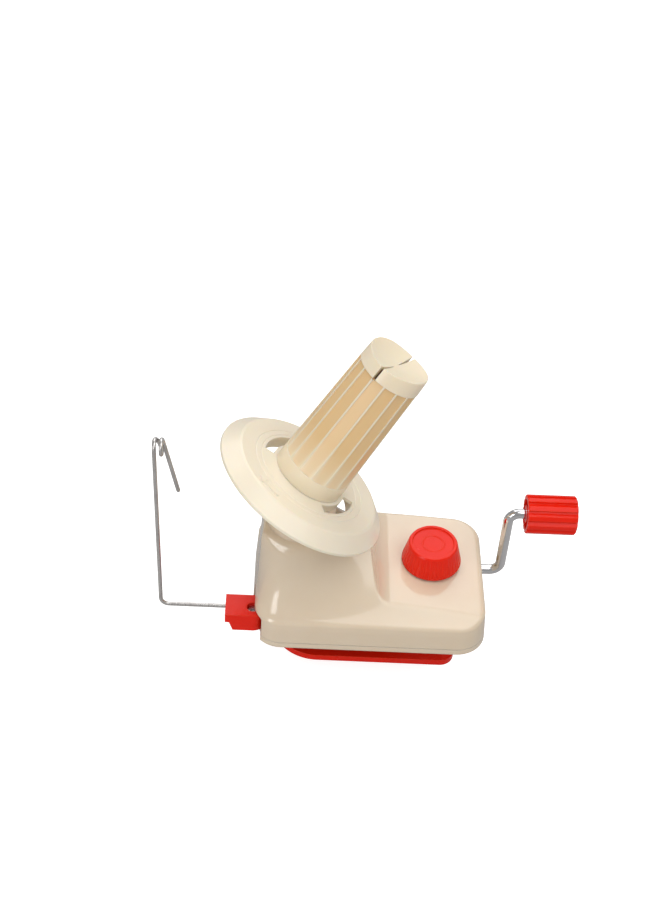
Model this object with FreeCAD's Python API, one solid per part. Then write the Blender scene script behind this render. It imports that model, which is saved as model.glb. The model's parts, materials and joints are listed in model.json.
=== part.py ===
import FreeCAD, Part
import math
import os

# Hand-cranked yarn ball winder, in millimetres. +Z is up.
# Origin: the vertical main-shaft axis meets the flat underside of the housing, which rests on the
# table. +X points to the crank, +Y points to the back.
# Each function returns the solid of one named sub-part; the last section writes the STEP files.

os.makedirs("parts", exist_ok=True)
V = FreeCAD.Vector
Z_AXIS = V(0, 0, 1)
X_AXIS = V(1, 0, 0)

# ---- housing ----
BODY_X0, BODY_X1 = -27.4, 113.0     # outline at the table
BODY_Y0, BODY_Y1 = -49.5, 43.5
CORNER_R = 18.0
BAND_Z = 20.0                       # height of the near-vertical side band
DRAFT = 1.5                         # inward lean of the band over its height
WALL = 2.4
BASE_RIM_Z = 3.6                    # parting line between base plate and cover
BASE_FLOOR_Z = 2.6
PARTING_GAP = 0.1
BACK_BAND_Z = 23.0                  # the band is taller along the back
DECK_RISE_BACK = 4.0
HUMP_POWER = 1.7                    # concavity of the hump flanks
HUMP_REACH_X = 190.0                # the front flank runs out towards this far right point
HUMP_R = 27.5                       # the flanks reach the shoulder height here ...
FLANK_RUN = 3.0                     # ... or this far inside the band, where the band is close
SHOULDER_Z = 54.0
SHOULDER_RISE = 8.0                 # the shoulder rounds off by this much towards the neck
NECK_R = 20.5
NECK_TOP_Z = 70.0
DECK_TILT = math.tan(math.radians(4.5))
DECK_WALL_X = 55.0                  # where the deck starts to rise to the hump
DECK_WALL_R = 10.0
DECK_WALL_SLOPE = 4.0
RIDGE_SOFT = 2.4
SURFACE_STEP = 3.0                  # spacing of the points the top surface passes through

# ---- main shaft, inclined pin and rolling gear pair ----
APEX = V(0, 0, 90.6)                # the shaft and the inclined pin meet here
CROWN_TEETH, NECK_TEETH = 33, 28
TILT = math.acos(NECK_TEETH / CROWN_TEETH)
LEAN_AZIMUTH = math.radians(15.0)
ROLL_R = 21.45                      # mean radius of the holder's face teeth
FACE_R0, FACE_R1 = 19.8, 23.1
ROLL_ADD, ROLL_DED = 0.91, 1.3
ROLL_HALF = 0.81                    # half tooth thickness on the pitch plane
SHAFT_R, SHAFT_TOP_Z = 3.0, 79.0
RUN = 0.05                          # radial running clearance

# ---- crank gear train ----
CRANK_Y, CRANK_Z = 12.0, 9.5
CRANK_MODULE, PINION_TEETH, FACE_TEETH = 0.8, 14, 21
MAIN_MODULE, SPUR_TEETH, MAIN_TEETH = 1.0, 48, 12
CENTRE_DIST = MAIN_MODULE * (SPUR_TEETH + MAIN_TEETH) / 2
GEAR_Y = CRANK_Y
GEAR_X = math.sqrt(CENTRE_DIST ** 2 - GEAR_Y ** 2)
CRANK_PITCH_R = CRANK_MODULE * PINION_TEETH / 2
FACE_PITCH_R = CRANK_MODULE * FACE_TEETH / 2
FACE_PLANE_Z = CRANK_Z + CRANK_PITCH_R
DISC_Z0, DISC_Z1 = 17.0, 21.0
PRESSURE = math.radians(25.0)
AXLE_R = 2.5

# ---- crank and grip ----
ROD_R = 3.0
CRANK_IN_X = 33.6
ARM_X = 124.0
ARM_LENGTH = 50.0
BEND_R = 6.5
GRIP_X0, GRIP_X1 = 133.5, 162.8
GRIP_R = 11.8
GRIP_GROOVES, GRIP_GROOVE = 12, 1.5

# ---- holder and spindle, heights measured along the inclined pin from the apex ----
RIM_R, RIM_H, CREASE_R = 54.5, -3.0, 46.0
TOP_H = 6.2
PLATE = 2.1
HUB_R = 7.5
HOLDER_RING_H = -2.5                # lower edge of the stiffening ring outside the windows
PIN_R = 4.0
PIN_TOP_H = 12.1
SPIGOT_R = 19.4
SPIGOT_TOP_H = 13.0
LUG_H0, LUG_H1 = 8.6, 10.6
LUG_HALF = 7.0
TWIST = 25.0
SPINDLE_H0, SPINDLE_H1 = 6.4, 97.8
SPINDLE_R0, SPINDLE_R1 = 22.0, 18.8
SPINDLE_WALL = 2.0
DISH_DEPTH, DISH_DIP = 4.5, 2.0     # the rim dips where the slits run out
PANELS = 15
PANEL_H0, PANEL_H1 = 16.5, 87.5
PANEL_DEPTH, PANEL_DEPTH_LOW = 1.1, 0.5
RIB_HALF = 0.4
RIB_TURN = -1.0                     # direction of one rib, in degrees about the pin
SLIT_TURN = 37.0
WINDOW_R0, WINDOW_R1 = 24.0, 30.2
WINDOW_TURN, WINDOW_SWEEP = 93.0, 62.0

# ---- table clamp ----
CLAMP_X, CLAMP_Y = 80.0, 2.7
KNOB_Z0, KNOB_Z1 = 26.8, 41.5
KNOB_R0, KNOB_R1 = 17.9, 14.5
KNOB_FLUTES = 40
SEAT_Z = 25.7
SCREW_R = 4.0
SCREW_END_Z = -47.0
THREAD_PITCH = 2.0
JAW_TOP_Z = -24.0
JAW_PLATE = 4.5
JAW_X0, JAW_X1 = -15.0, 97.5
JAW_HALF_Y = 37.6
JAW_LEFT_R, JAW_RIGHT_R = 28.0, 9.0
STOP_DEPTH = 10.0
TONGUE_X0, TONGUE_X1 = 87.6, 91.6
TONGUE_Y0, TONGUE_Y1 = -9.0, 0.0
TONGUE_RISE = 26.0

# ---- yarn guide ----
PIVOT = V(-27.0, -32.5, 0)
ARM_END_X = -43.5
GUIDE_Y = -31.4
GUIDE_HALF_Y = 8.4
GUIDE_Z0, GUIDE_Z1 = 2.9, 16.2
WIRE_R = 1.2
WIRE_Y, WIRE_Z = -28.5, 11.5
WIRE_X = -82.7
WIRE_TOP_Z = 141.5
WIRE_BEND = 5.0
COIL_R = 4.15
COIL_PITCH = 3.8
COIL_TURNS = 1.5
COIL_LEAN = 0.65                    # sideways drift of the last quarter turn into the tail
TAIL_RUN, TAIL_DROP = 7.4, 37.0
NOTCH_X1, NOTCH_Y1 = -22.0, -12.0
NOTCH_TOP_Z = 17.4


def cyl(r, z0, z1, x=0.0, y=0.0):
    return Part.makeCylinder(r, z1 - z0, V(x, y, z0), Z_AXIS)


def ring(r_out, r_in, z0, z1, x=0.0, y=0.0):
    return cyl(r_out, z0, z1, x, y).cut(cyl(r_in, z0 - 1, z1 + 1, x, y))


def rod_x(r, x0, x1, y, z):
    return Part.makeCylinder(r, x1 - x0, V(x0, y, z), X_AXIS)


def box(x0, x1, y0, y1, z0, z1):
    return Part.makeBox(x1 - x0, y1 - y0, z1 - z0, V(x0, y0, z0))


def wire_of(points):
    return Part.makePolygon(points + [points[0]])


def prism(points, push):
    return Part.Face(wire_of(points)).extrude(push)


def rounded_rect(x0, x1, y0, y1, r, z):
    """Closed outline with four round corners."""
    half = math.sqrt(0.5)
    edges = []
    corners = [(x1 - r, y0 + r, -90), (x1 - r, y1 - r, 0), (x0 + r, y1 - r, 90), (x0 + r, y0 + r, 180)]
    ends = []
    for cx, cy, start in corners:
        a0 = math.radians(start)
        a1 = a0 + math.pi / 4
        a2 = a0 + math.pi / 2
        pts = [V(cx + r * math.cos(a), cy + r * math.sin(a), z) for a in (a0, a1, a2)]
        ends.append((pts[0], pts[2]))
        edges.append(Part.Arc(*pts).toShape())
    order = []
    for i in range(4):
        order.append(edges[i])
        order.append(Part.makeLine(ends[i][1], ends[(i + 1) % 4][0]))
    return Part.Wire(order)


def body_outline(z, inset=0.0):
    """Housing outline at height z, drafted inwards up to the band's top."""
    lean = DRAFT * min(z, BAND_Z) / BAND_Z + inset
    return rounded_rect(BODY_X0 + lean, BODY_X1 - lean, BODY_Y0 + lean, BODY_Y1 - lean,
                        CORNER_R - lean, z)


def spin_copies(shape, count, axis=Z_AXIS, centre=V(0, 0, 0), start=0.0):
    copies = []
    for i in range(count):
        piece = shape.copy()
        piece.rotate(centre, axis, start + 360.0 * i / count)
        copies.append(piece)
    return copies


def revolve(profile, start=None, sweep=360.0):
    """Solid of revolution about Z from (radius, height) points."""
    pts = [V(r, 0, h) for r, h in profile]
    solid = Part.Face(wire_of(pts)).revolve(V(0, 0, 0), Z_AXIS, sweep)
    if start is not None:
        solid.rotate(V(0, 0, 0), Z_AXIS, start)
    return solid


def to_pin_frame(shape):
    """Moves a shape drawn about Z at the origin onto the inclined pin, at the apex."""
    lean = FreeCAD.Rotation(V(0, 1, 0), math.degrees(TILT))
    turn = FreeCAD.Rotation(Z_AXIS, math.degrees(LEAN_AZIMUTH))
    shape.Placement = FreeCAD.Placement(APEX, turn.multiply(lean)).multiply(shape.Placement)
    return shape


# ---------------------------------------------------------------- housing surface

def hit_distance(ux, uy):
    """Distance from the main axis to the flank's foot, in the plan direction (ux, uy)."""
    x0 = BODY_X0 + DRAFT
    y0 = BODY_Y0 + DRAFT
    y1 = BODY_Y1 - DRAFT
    r = CORNER_R - DRAFT
    reach = []
    if ux > 1e-9:
        reach.append(HUMP_REACH_X / ux)
    if ux < -1e-9:
        reach.append(x0 / ux)
    if uy > 1e-9:
        reach.append(y1 / uy)
    if uy < -1e-9:
        reach.append(y0 / uy)
    d = min(reach)
    px, py = ux * d, uy * d
    for cy, inside in ((y0 + r, py < y0 + r), (y1 - r, py > y1 - r)):
        cx = x0 + r
        if px < cx and inside:
            along = ux * cx + uy * cy
            d = along + math.sqrt(max(along * along - (cx * cx + cy * cy) + r * r, 0.0))
    return d


def smooth_step(t):
    t = min(max(t, 0.0), 1.0)
    return t * t * (3 - 2 * t)


def foot_height(x, y):
    back = smooth_step((y + 20.0) / 50.0)
    right = smooth_step(x / 40.0)
    return BAND_Z + back * (BACK_BAND_Z - BAND_Z + DECK_RISE_BACK * right)


def hump_height(x, y):
    """Concave flank from the side band up to the round neck."""
    r = math.hypot(x, y)
    if r < 5.0:
        return SHOULDER_Z + SHOULDER_RISE
    ux, uy = x / r, y / r
    far = hit_distance(ux, uy)
    t = max((far - r) / (far - min(HUMP_R, far - FLANK_RUN)), 0.0)
    low = foot_height(ux * far, uy * far)
    z = low + (SHOULDER_Z - low) * t ** HUMP_POWER
    if z <= SHOULDER_Z:
        return z
    return SHOULDER_Z + SHOULDER_RISE * (1 - math.exp((SHOULDER_Z - z) / SHOULDER_RISE))


def deck_height(x):
    """Tilted deck on the right, rising with a round foot to the hump's side."""
    level = KNOB_Z0 - 1.8 + (CLAMP_X - x) * DECK_TILT
    if x >= DECK_WALL_X:
        return level
    run = DECK_WALL_X - x
    bend = DECK_WALL_R * DECK_WALL_SLOPE / math.hypot(1, DECK_WALL_SLOPE)
    rise = DECK_WALL_R - math.sqrt(DECK_WALL_R ** 2 - min(run, bend) ** 2)
    return level + rise + max(run - bend, 0.0) * DECK_WALL_SLOPE


def top_height(x, y):
    a, b = hump_height(x, y), deck_height(x)
    mix = max(RIDGE_SOFT - abs(a - b), 0.0) / RIDGE_SOFT
    return min(a, b) - mix * mix * RIDGE_SOFT / 4


def under_height(x, y):
    """Inner face of the cover, one wall below the top face."""
    e = 0.5
    gx = (top_height(x + e, y) - top_height(x - e, y)) / (2 * e)
    gy = (top_height(x, y + e) - top_height(x, y - e)) / (2 * e)
    return top_height(x, y) - WALL * min(math.sqrt(1 + gx * gx + gy * gy), 2.2)


def block_above(height):
    """Everything above a height function, over the whole housing."""
    x0, y0 = BODY_X0 - 3, BODY_Y0 - 3
    nx = int((BODY_X1 + 3 - x0) / SURFACE_STEP) + 2
    ny = int((BODY_Y1 + 3 - y0) / SURFACE_STEP) + 2
    rows = []
    for i in range(nx):
        x = x0 + i * SURFACE_STEP
        rows.append([V(x, y0 + j * SURFACE_STEP, height(x, y0 + j * SURFACE_STEP)) for j in range(ny)])
    surface = Part.BSplineSurface()
    surface.interpolate(rows)
    return surface.toShape().extrude(V(0, 0, 80))


def housing_block(inset, z0, height):
    low = Part.makeLoft([body_outline(z0, inset), body_outline(BAND_Z, inset)], True, True)
    high = Part.Face(body_outline(BAND_Z, inset)).extrude(V(0, 0, 50))
    return low.fuse(high).removeSplitter().cut(block_above(height))


SCREW_POSTS = [(-8.0, -39.0), (-17.0, 31.0), (102.0, 31.0), (102.0, -37.0)]
POST_R = 4.0
SCREW_HOLE_R = 1.5


def top_cover():
    outer = housing_block(0.0, BASE_RIM_Z + PARTING_GAP, top_height)
    inner = housing_block(WALL, BASE_RIM_Z - 1, under_height)
    neck = cyl(NECK_R, SHOULDER_Z - 6, NECK_TOP_Z)
    shell = outer.fuse(neck).cut(inner)
    shell = shell.cut(cyl(NECK_R - 4.5, SHOULDER_Z - 20, NECK_TOP_Z - 4))
    bearing = cyl(9.0, NECK_TOP_Z - 7, NECK_TOP_Z)
    posts = [cyl(POST_R, BASE_FLOOR_Z + PARTING_GAP, 60, x, y).common(outer.fuse(box(
        x - 5, x + 5, y - 5, y + 5, 0, BAND_Z - 5))) for x, y in SCREW_POSTS]
    clamp_boss = cyl(7.0, 15.0, 24.0, CLAMP_X, CLAMP_Y)
    seat = cyl(9.5, 23.0, SEAT_Z, CLAMP_X, CLAMP_Y)
    crank_pad = box(106.0, 111.0, CRANK_Y - 7, CRANK_Y + 7, BASE_RIM_Z + PARTING_GAP, 17.0)
    shell = shell.fuse([bearing, clamp_boss, seat, crank_pad] + posts)
    shell = shell.cut([cyl(6.0, 40, 80),
                       cyl(SCREW_R + 2 * RUN, 0, 50, CLAMP_X, CLAMP_Y),
                       rod_x(4.8, 100, 120, CRANK_Y, CRANK_Z),
                       box(BODY_X0 - 9, NOTCH_X1, BODY_Y0 - 3, NOTCH_Y1, -1, NOTCH_TOP_Z)])
    shell = shell.cut([cyl(SCREW_HOLE_R, 0, 15, x, y) for x, y in SCREW_POSTS])
    return shell.removeSplitter()


def base_plate():
    tray = Part.makeLoft([body_outline(0), body_outline(BASE_RIM_Z)], True, True)
    tray = tray.cut(Part.Face(body_outline(BASE_FLOOR_Z, WALL)).extrude(V(0, 0, 5)))
    notch = box(BODY_X0 - 9, NOTCH_X1, BODY_Y0 - 3, NOTCH_Y1, -1, 9)
    keep = Part.Face(body_outline(0, 3.8)).extrude(V(0, 0, BASE_FLOOR_Z))
    boss = cyl(4.6, 0, BASE_FLOOR_Z, PIVOT.x, PIVOT.y)
    web = box(PIVOT.x, PIVOT.x + 8.0, PIVOT.y - 4.6, PIVOT.y + 4.6, 1.0, BASE_FLOOR_Z)
    tray = tray.cut(notch.cut(keep)).fuse([boss, web])
    stop = box(66.0, 97.0, -14.0, 20.0, -STOP_DEPTH, 1.0)
    shaft_boss = cyl(8.0, 2.0, 11.0)
    axle_boss = cyl(5.0, 2.0, 12.0, GEAR_X, GEAR_Y)
    bracket = box(40.0, 46.0, CRANK_Y - 6, CRANK_Y + 6, 2.0, 15.6)
    tray = tray.fuse([stop, shaft_boss, axle_boss, bracket])
    slot = box(TONGUE_X0 - 0.3, TONGUE_X1 + 0.3, TONGUE_Y0 - 0.3, TONGUE_Y1 + 0.3, -20, 9)
    cuts = [slot,
            cyl(SCREW_R + 0.3, -20, 9, CLAMP_X, CLAMP_Y),
            cyl(5.5, 3.0, 20),
            cyl(AXLE_R, 1.2, 20, GEAR_X, GEAR_Y),
            rod_x(4.8, 39, 47, CRANK_Y, CRANK_Z),
            cyl(2.0, -1, 5, PIVOT.x, PIVOT.y),
            box(-22.0, 60.0, -40.0, 36.0, -1, 1.0)]
    cuts += [cyl(SCREW_HOLE_R + 0.1, -1, 5, x, y) for x, y in SCREW_POSTS]
    cuts += [cyl(3.6, -1, 1.4, x, y) for x, y in SCREW_POSTS]
    return tray.cut(cuts).removeSplitter()


def base_pad():
    pad = Part.Face(rounded_rect(-21.8, 59.8, -39.8, 35.8, 2.0, 0)).extrude(V(0, 0, 1.0))
    return pad.cut([cyl(4.0, -1, 3, x, y) for x, y in SCREW_POSTS])


def base_screws():
    screws = []
    for x, y in SCREW_POSTS:
        head = cyl(3.3, 0.2, 1.4, x, y)
        drive = box(x - 2.4, x + 2.4, y - 0.35, y + 0.35, -1, 0.7)
        drive = drive.fuse(box(x - 0.35, x + 0.35, y - 2.4, y + 2.4, -1, 0.7))
        screws.append(head.fuse(cyl(SCREW_HOLE_R, 1.0, 13.0, x, y)).cut(drive))
    return Part.makeCompound(screws)


# ---------------------------------------------------------------- rolling gear pair

def roll_tooth(direction, normal, tangent, up):
    """Straight tooth whose size shrinks towards the apex. up is +1 or -1 along the normal."""
    wires = []
    slope = math.tan(PRESSURE) * 0.9
    for r in (FACE_R0, FACE_R1):
        k = r / ROLL_R
        tip, root = ROLL_ADD, -ROLL_DED - 0.4
        corners = [(root, ROLL_HALF - root * slope), (tip, ROLL_HALF - tip * slope)]
        pts = [direction * r + normal * (up * h * k) + tangent * (w * k) for h, w in corners]
        pts += [direction * r + normal * (up * h * k) - tangent * (w * k) for h, w in reversed(corners)]
        wires.append(wire_of(pts))
    return Part.makeLoft(wires, True, True)


def neck_gear():
    """Fixed bevel gear on the neck: its pitch cone has its tip at the apex."""
    c, s = math.cos(TILT), math.sin(TILT)

    def at(r, h):
        return (r * c + h * s, APEX.z - r * s + h * c)

    inner, outer = at(FACE_R0, -ROLL_DED), at(FACE_R1, -ROLL_DED)
    body = revolve([(14.0, NECK_TOP_Z), (NECK_R - 0.5, NECK_TOP_Z), (NECK_R - 0.5, NECK_TOP_Z + 1.5),
                    outer, inner, (14.0, inner[1] - 1.5)])
    tooth = roll_tooth(V(c, 0, -s), V(s, 0, c), V(0, 1, 0), 1)
    tooth.translate(APEX)
    start = math.degrees(LEAN_AZIMUTH) + 180.0 / NECK_TEETH
    return body.fuse(spin_copies(tooth, NECK_TEETH, start=start)).removeSplitter()


def geared_holder():
    """Disc with a conical skirt, a spigot for the spindle and face teeth underneath."""
    h0 = TOP_H - PLATE
    profile = [(PIN_R + RUN, -2.0), (HUB_R, -2.0), (HUB_R, h0), (FACE_R0 - 0.8, h0),
               (FACE_R0 - 0.8, ROLL_DED), (FACE_R1 + 0.8, ROLL_DED), (FACE_R1 + 0.8, h0),
               (WINDOW_R1 + 0.6, h0), (WINDOW_R1 + 0.6, HOLDER_RING_H), (WINDOW_R1 + 2.2, HOLDER_RING_H),
               (WINDOW_R1 + 2.2, h0),
               (CREASE_R - 1.6, h0), (RIM_R - 1.9, RIM_H), (RIM_R, RIM_H), (RIM_R, RIM_H + 1.6),
               (CREASE_R + 0.6, TOP_H - 0.6), (CREASE_R - 0.8, TOP_H), (36.4, TOP_H),
               (36.0, TOP_H - 0.3), (35.6, TOP_H), (32.6, TOP_H), (32.2, TOP_H - 0.3),
               (31.8, TOP_H), (SPIGOT_R, TOP_H),
               (SPIGOT_R, SPIGOT_TOP_H), (SPIGOT_R - 2.0, SPIGOT_TOP_H), (SPIGOT_R - 2.0, TOP_H),
               (HUB_R + 0.5, TOP_H), (HUB_R, PIN_TOP_H - 0.1), (PIN_R + RUN, PIN_TOP_H - 0.1)]
    disc = revolve(profile)
    tooth = roll_tooth(V(1, 0, 0), V(0, 0, 1), V(0, 1, 0), -1)
    disc = disc.fuse(spin_copies(tooth, CROWN_TEETH))
    lug = revolve([(SPIGOT_R - 1.0, LUG_H0), (SPIGOT_R + 0.9, LUG_H0), (SPIGOT_R + 0.9, LUG_H1),
                   (SPIGOT_R - 1.0, LUG_H1)], SLIT_TURN - LUG_HALF, 2 * LUG_HALF)
    window = revolve([(WINDOW_R0, -5), (WINDOW_R1, -5), (WINDOW_R1, 20), (WINDOW_R0, 20)],
                     WINDOW_TURN, WINDOW_SWEEP)
    disc = disc.fuse(spin_copies(lug, 2) + [twist_arrow()]).cut(spin_copies(window, 2))
    return to_pin_frame(disc.removeSplitter())


def twist_arrow():
    """Low raised arrow on the disc that shows which way the spindle locks."""
    start = SLIT_TURN + 180.0
    low, high = TOP_H - 0.2, TOP_H + 0.35
    bar = revolve([(40.0, low), (42.0, low), (42.0, high), (40.0, high)], start - 10.0, 16.0)
    head = prism([V(38.6, 0, low), V(43.4, 0, low), V(41.0, -5.0, low)], V(0, 0, high - low))
    head.rotate(V(0, 0, 0), Z_AXIS, start - 9.5)
    return bar.fuse(head)


# ---------------------------------------------------------------- spindle

def dish_barrel(grow):
    """Barrel whose underside shapes the spindle's top: it curves more across the slits than along them."""
    across = SPINDLE_R1 ** 2 / (2 * DISH_DEPTH)
    along = SPINDLE_R1 ** 2 / (2 * (DISH_DEPTH - DISH_DIP))
    r = across + grow
    end = math.sqrt(r * r - 24.0 ** 2)
    base = along - across
    arc = Part.Arc(V(-24, 0, base + end), V(0, 0, base + r), V(24, 0, base + end)).toShape()
    rest = Part.makePolygon([V(24, 0, base + end), V(24, 0, 0), V(-24, 0, 0), V(-24, 0, base + end)])
    barrel = Part.Face(Part.Wire([arc] + rest.Edges)).revolve(V(0, 0, 0), X_AXIS, 360)
    barrel.rotate(V(0, 0, 0), Z_AXIS, SLIT_TURN + 90.0)
    barrel.translate(V(0, 0, SPINDLE_H1 - DISH_DEPTH + along))
    return barrel


def spindle():
    """Tapered tube with sunk flats, a dished top and two slits; it twists onto the spigot."""
    top = SPINDLE_H1
    outer = revolve([(0, SPINDLE_H0), (SPINDLE_R0, SPINDLE_H0), (SPINDLE_R0 - 0.4, 16.0),
                     (SPINDLE_R1 + 0.5, 88.0), (SPINDLE_R1, top - 0.8), (SPINDLE_R1 - 0.6, top),
                     (0, top)])
    inner = revolve([(0, SPINDLE_H0 - 1), (SPIGOT_R + 0.15, SPINDLE_H0 - 1),
                     (SPIGOT_R + 0.15, SPIGOT_TOP_H + 0.5), (15.6, top - 7.0), (15.6, top), (0, top)])
    tube = outer.cut(inner.cut(dish_barrel(SPINDLE_WALL))).cut(dish_barrel(0))
    cutters = []
    for h, r, depth in ((PANEL_H0, SPINDLE_R0 - 0.4, PANEL_DEPTH_LOW),
                        (PANEL_H1, SPINDLE_R1 + 0.5, PANEL_DEPTH)):
        apothem = r - depth
        half = apothem * math.tan(math.pi / PANELS) - RIB_HALF
        cutters.append(wire_of([V(apothem, -half, h), V(30, -half, h), V(30, half, h),
                                V(apothem, half, h)]))
    flat = Part.makeLoft(cutters, True, True)
    tube = tube.cut(spin_copies(flat, PANELS, start=RIB_TURN + 180.0 / PANELS))
    wedge = prism([V(3.0, -0.15, 86.5), V(25, -1.2, 86.5), V(25, 1.2, 86.5), V(3.0, 0.15, 86.5)],
                  V(0, 0, 20))
    tube = tube.cut(spin_copies(wedge, 2, start=SLIT_TURN))
    groove_r = SPIGOT_R + 1.1
    groove = revolve([(SPIGOT_R - 1, LUG_H0 - 0.2), (groove_r, LUG_H0 - 0.2),
                      (groove_r, LUG_H1 + 0.2), (SPIGOT_R - 1, LUG_H1 + 0.2)],
                     SLIT_TURN - LUG_HALF - 1, 2 * LUG_HALF + TWIST + 2)
    entry = revolve([(SPIGOT_R - 1, 0), (groove_r, 0), (groove_r, LUG_H1 + 0.2),
                     (SPIGOT_R - 1, LUG_H1 + 0.2)],
                    SLIT_TURN + TWIST - LUG_HALF - 1, 2 * LUG_HALF + 2)
    tube = tube.cut(spin_copies(groove, 2) + spin_copies(entry, 2))
    return to_pin_frame(tube.removeSplitter())


# ---------------------------------------------------------------- shafts and bearings

def main_shaft():
    return cyl(SHAFT_R, 3.3, SHAFT_TOP_Z)


def tilt_carrier():
    """Hub pressed on the main shaft, with the inclined pin the holder turns on."""
    pin = cyl(PIN_R, -14.0, PIN_TOP_H).fuse(cyl(6.0, -14.0, -2.2)).cut(cyl(1.9, 2.0, 20.0))
    pin = to_pin_frame(pin)
    hub = cyl(6.5, NECK_TOP_Z + 1.1, 80.0).fuse(Part.makeSphere(6.9, V(0, 0, 79.5)))
    joined = hub.fuse(pin).removeSplitter()
    return joined.cut(cyl(SHAFT_R, 60.0, SHAFT_TOP_Z))


def holder_washer():
    return to_pin_frame(ring(6.6, 2.0, PIN_TOP_H, PIN_TOP_H + 1.0))


def holder_screw():
    head = cyl(4.0, PIN_TOP_H + 1.0, PIN_TOP_H + 3.4)
    slot = box(-5, 5, -0.5, 0.5, PIN_TOP_H + 2.2, PIN_TOP_H + 5)
    return to_pin_frame(head.fuse(cyl(1.9, 2.6, PIN_TOP_H + 1.5)).cut(slot))


def upper_bush():
    return ring(6.0, SHAFT_R + RUN, NECK_TOP_Z - 7, NECK_TOP_Z + 0.6)


def lower_bush():
    return ring(5.5, SHAFT_R + RUN, 3.0, 11.4)


def shaft_clip():
    gap = box(0, 8, -1.4, 1.4, 50, 62)
    return ring(5.6, SHAFT_R, NECK_TOP_Z - 8.6, NECK_TOP_Z - 7.5).cut(gap)


# ---------------------------------------------------------------- crank gear train

def involute_half_angle(r, module, teeth, thickness):
    pitch_r = module * teeth / 2
    base_r = pitch_r * math.cos(PRESSURE)
    at_pitch = thickness / (2 * pitch_r) + math.tan(PRESSURE) - PRESSURE
    if r <= base_r:
        return at_pitch
    a = math.acos(base_r / r)
    return at_pitch - (math.tan(a) - a)


def spur_gear(module, teeth, add, ded, backlash, z0, z1, turn=0.0):
    """External involute gear about Z, with a tooth centred on the direction turn (degrees)."""
    pitch_r = module * teeth / 2
    thickness = math.pi * module / 2 - backlash
    radii = [pitch_r - ded + (add + ded) * i / 5 for i in range(6)]
    points = []
    for k in range(teeth):
        mid = math.radians(turn) + 2 * math.pi * k / teeth
        halves = [involute_half_angle(r, module, teeth, thickness) for r in radii]
        for r, half in zip(radii, halves):
            points.append(V(r * math.cos(mid - half), r * math.sin(mid - half), z0))
        for r, half in zip(reversed(radii), reversed(halves)):
            points.append(V(r * math.cos(mid + half), r * math.sin(mid + half), z0))
    return prism(points, V(0, 0, z1 - z0))


def crank_pinion():
    gear = spur_gear(CRANK_MODULE, PINION_TEETH, 0.65, 0.9, 0.35, 0, 4.0)
    gear = gear.cut(cyl(ROD_R, -1, 5))
    gear.rotate(V(0, 0, 0), V(0, 1, 0), -90)
    gear.translate(V(38.4, CRANK_Y, CRANK_Z))
    return gear


def face_teeth():
    """Radial teeth under the compound gear, meshing with the crank pinion."""
    r0, r1 = 7.5, 9.3
    tooth_wires = []
    for r in (r0, r1):
        k = r / FACE_PITCH_R
        tip, root = -0.65, 1.2
        half = (math.pi * CRANK_MODULE / 2 - 0.35) / 2
        slope = math.tan(PRESSURE)
        low, high = (half - 0.65 * slope) * k, (half + root * slope) * k
        tooth_wires.append(wire_of([V(r, -low, tip), V(r, low, tip), V(r, high, root), V(r, -high, root)]))
    tooth = Part.makeLoft(tooth_wires, True, True)
    tooth.translate(V(0, 0, FACE_PLANE_Z))
    return spin_copies(tooth, FACE_TEETH, start=180.0 / FACE_TEETH)


def compound_gear():
    """Large spur ring with a small face gear under it."""
    toward_shaft = math.degrees(math.atan2(-GEAR_Y, -GEAR_X))
    gear = spur_gear(MAIN_MODULE, SPUR_TEETH, 0.85, 1.15, 0.22, DISC_Z0, DISC_Z1, toward_shaft)
    gear = gear.cut(ring(20.5, 10.5, DISC_Z0 + 2.2, DISC_Z1 + 1))
    gear = gear.fuse([cyl(10.5, FACE_PLANE_Z + 0.9, DISC_Z1), cyl(5.0, 12.3, 23.0)])
    gear = gear.fuse(face_teeth()).cut(cyl(AXLE_R + RUN, 0, 40)).removeSplitter()
    gear.translate(V(GEAR_X, GEAR_Y, 0))
    return gear


def main_pinion():
    toward_gear = math.degrees(math.atan2(GEAR_Y, GEAR_X))
    gear = spur_gear(MAIN_MODULE, MAIN_TEETH, 0.85, 1.15, 0.22, DISC_Z0 - 0.5, DISC_Z1 + 0.5,
                     toward_gear + 180.0 / MAIN_TEETH)
    collar = cyl(4.6, DISC_Z1, DISC_Z1 + 4)
    return gear.fuse(collar).cut(cyl(SHAFT_R, 0, 40)).removeSplitter()


def gear_axle():
    return cyl(AXLE_R, 1.4, 24.6, GEAR_X, GEAR_Y)


def gear_clip():
    gap = box(GEAR_X, GEAR_X + 8, GEAR_Y - 1.1, GEAR_Y + 1.1, 20, 30)
    return ring(4.6, AXLE_R, 23.2, 24.1, GEAR_X, GEAR_Y).cut(gap)


def crank_path():
    """Centre line of the crank rod: out of the housing, up, and out again to the grip."""
    top_z = CRANK_Z + ARM_LENGTH
    k = BEND_R * (1 - math.sqrt(0.5))
    p = [V(CRANK_IN_X, CRANK_Y, CRANK_Z), V(ARM_X - BEND_R, CRANK_Y, CRANK_Z),
         V(ARM_X - k, CRANK_Y, CRANK_Z + k), V(ARM_X, CRANK_Y, CRANK_Z + BEND_R),
         V(ARM_X, CRANK_Y, top_z - BEND_R), V(ARM_X + k, CRANK_Y, top_z - k),
         V(ARM_X + BEND_R, CRANK_Y, top_z), V(GRIP_X1 - 1.6, CRANK_Y, top_z)]
    return Part.Wire([Part.makeLine(p[0], p[1]), Part.Arc(p[1], p[2], p[3]).toShape(),
                      Part.makeLine(p[3], p[4]), Part.Arc(p[4], p[5], p[6]).toShape(),
                      Part.makeLine(p[6], p[7])])


def crank_rod():
    section = Part.Wire(Part.makeCircle(ROD_R, V(CRANK_IN_X, CRANK_Y, CRANK_Z), X_AXIS))
    return crank_path().makePipeShell([section], True, False)


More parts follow.
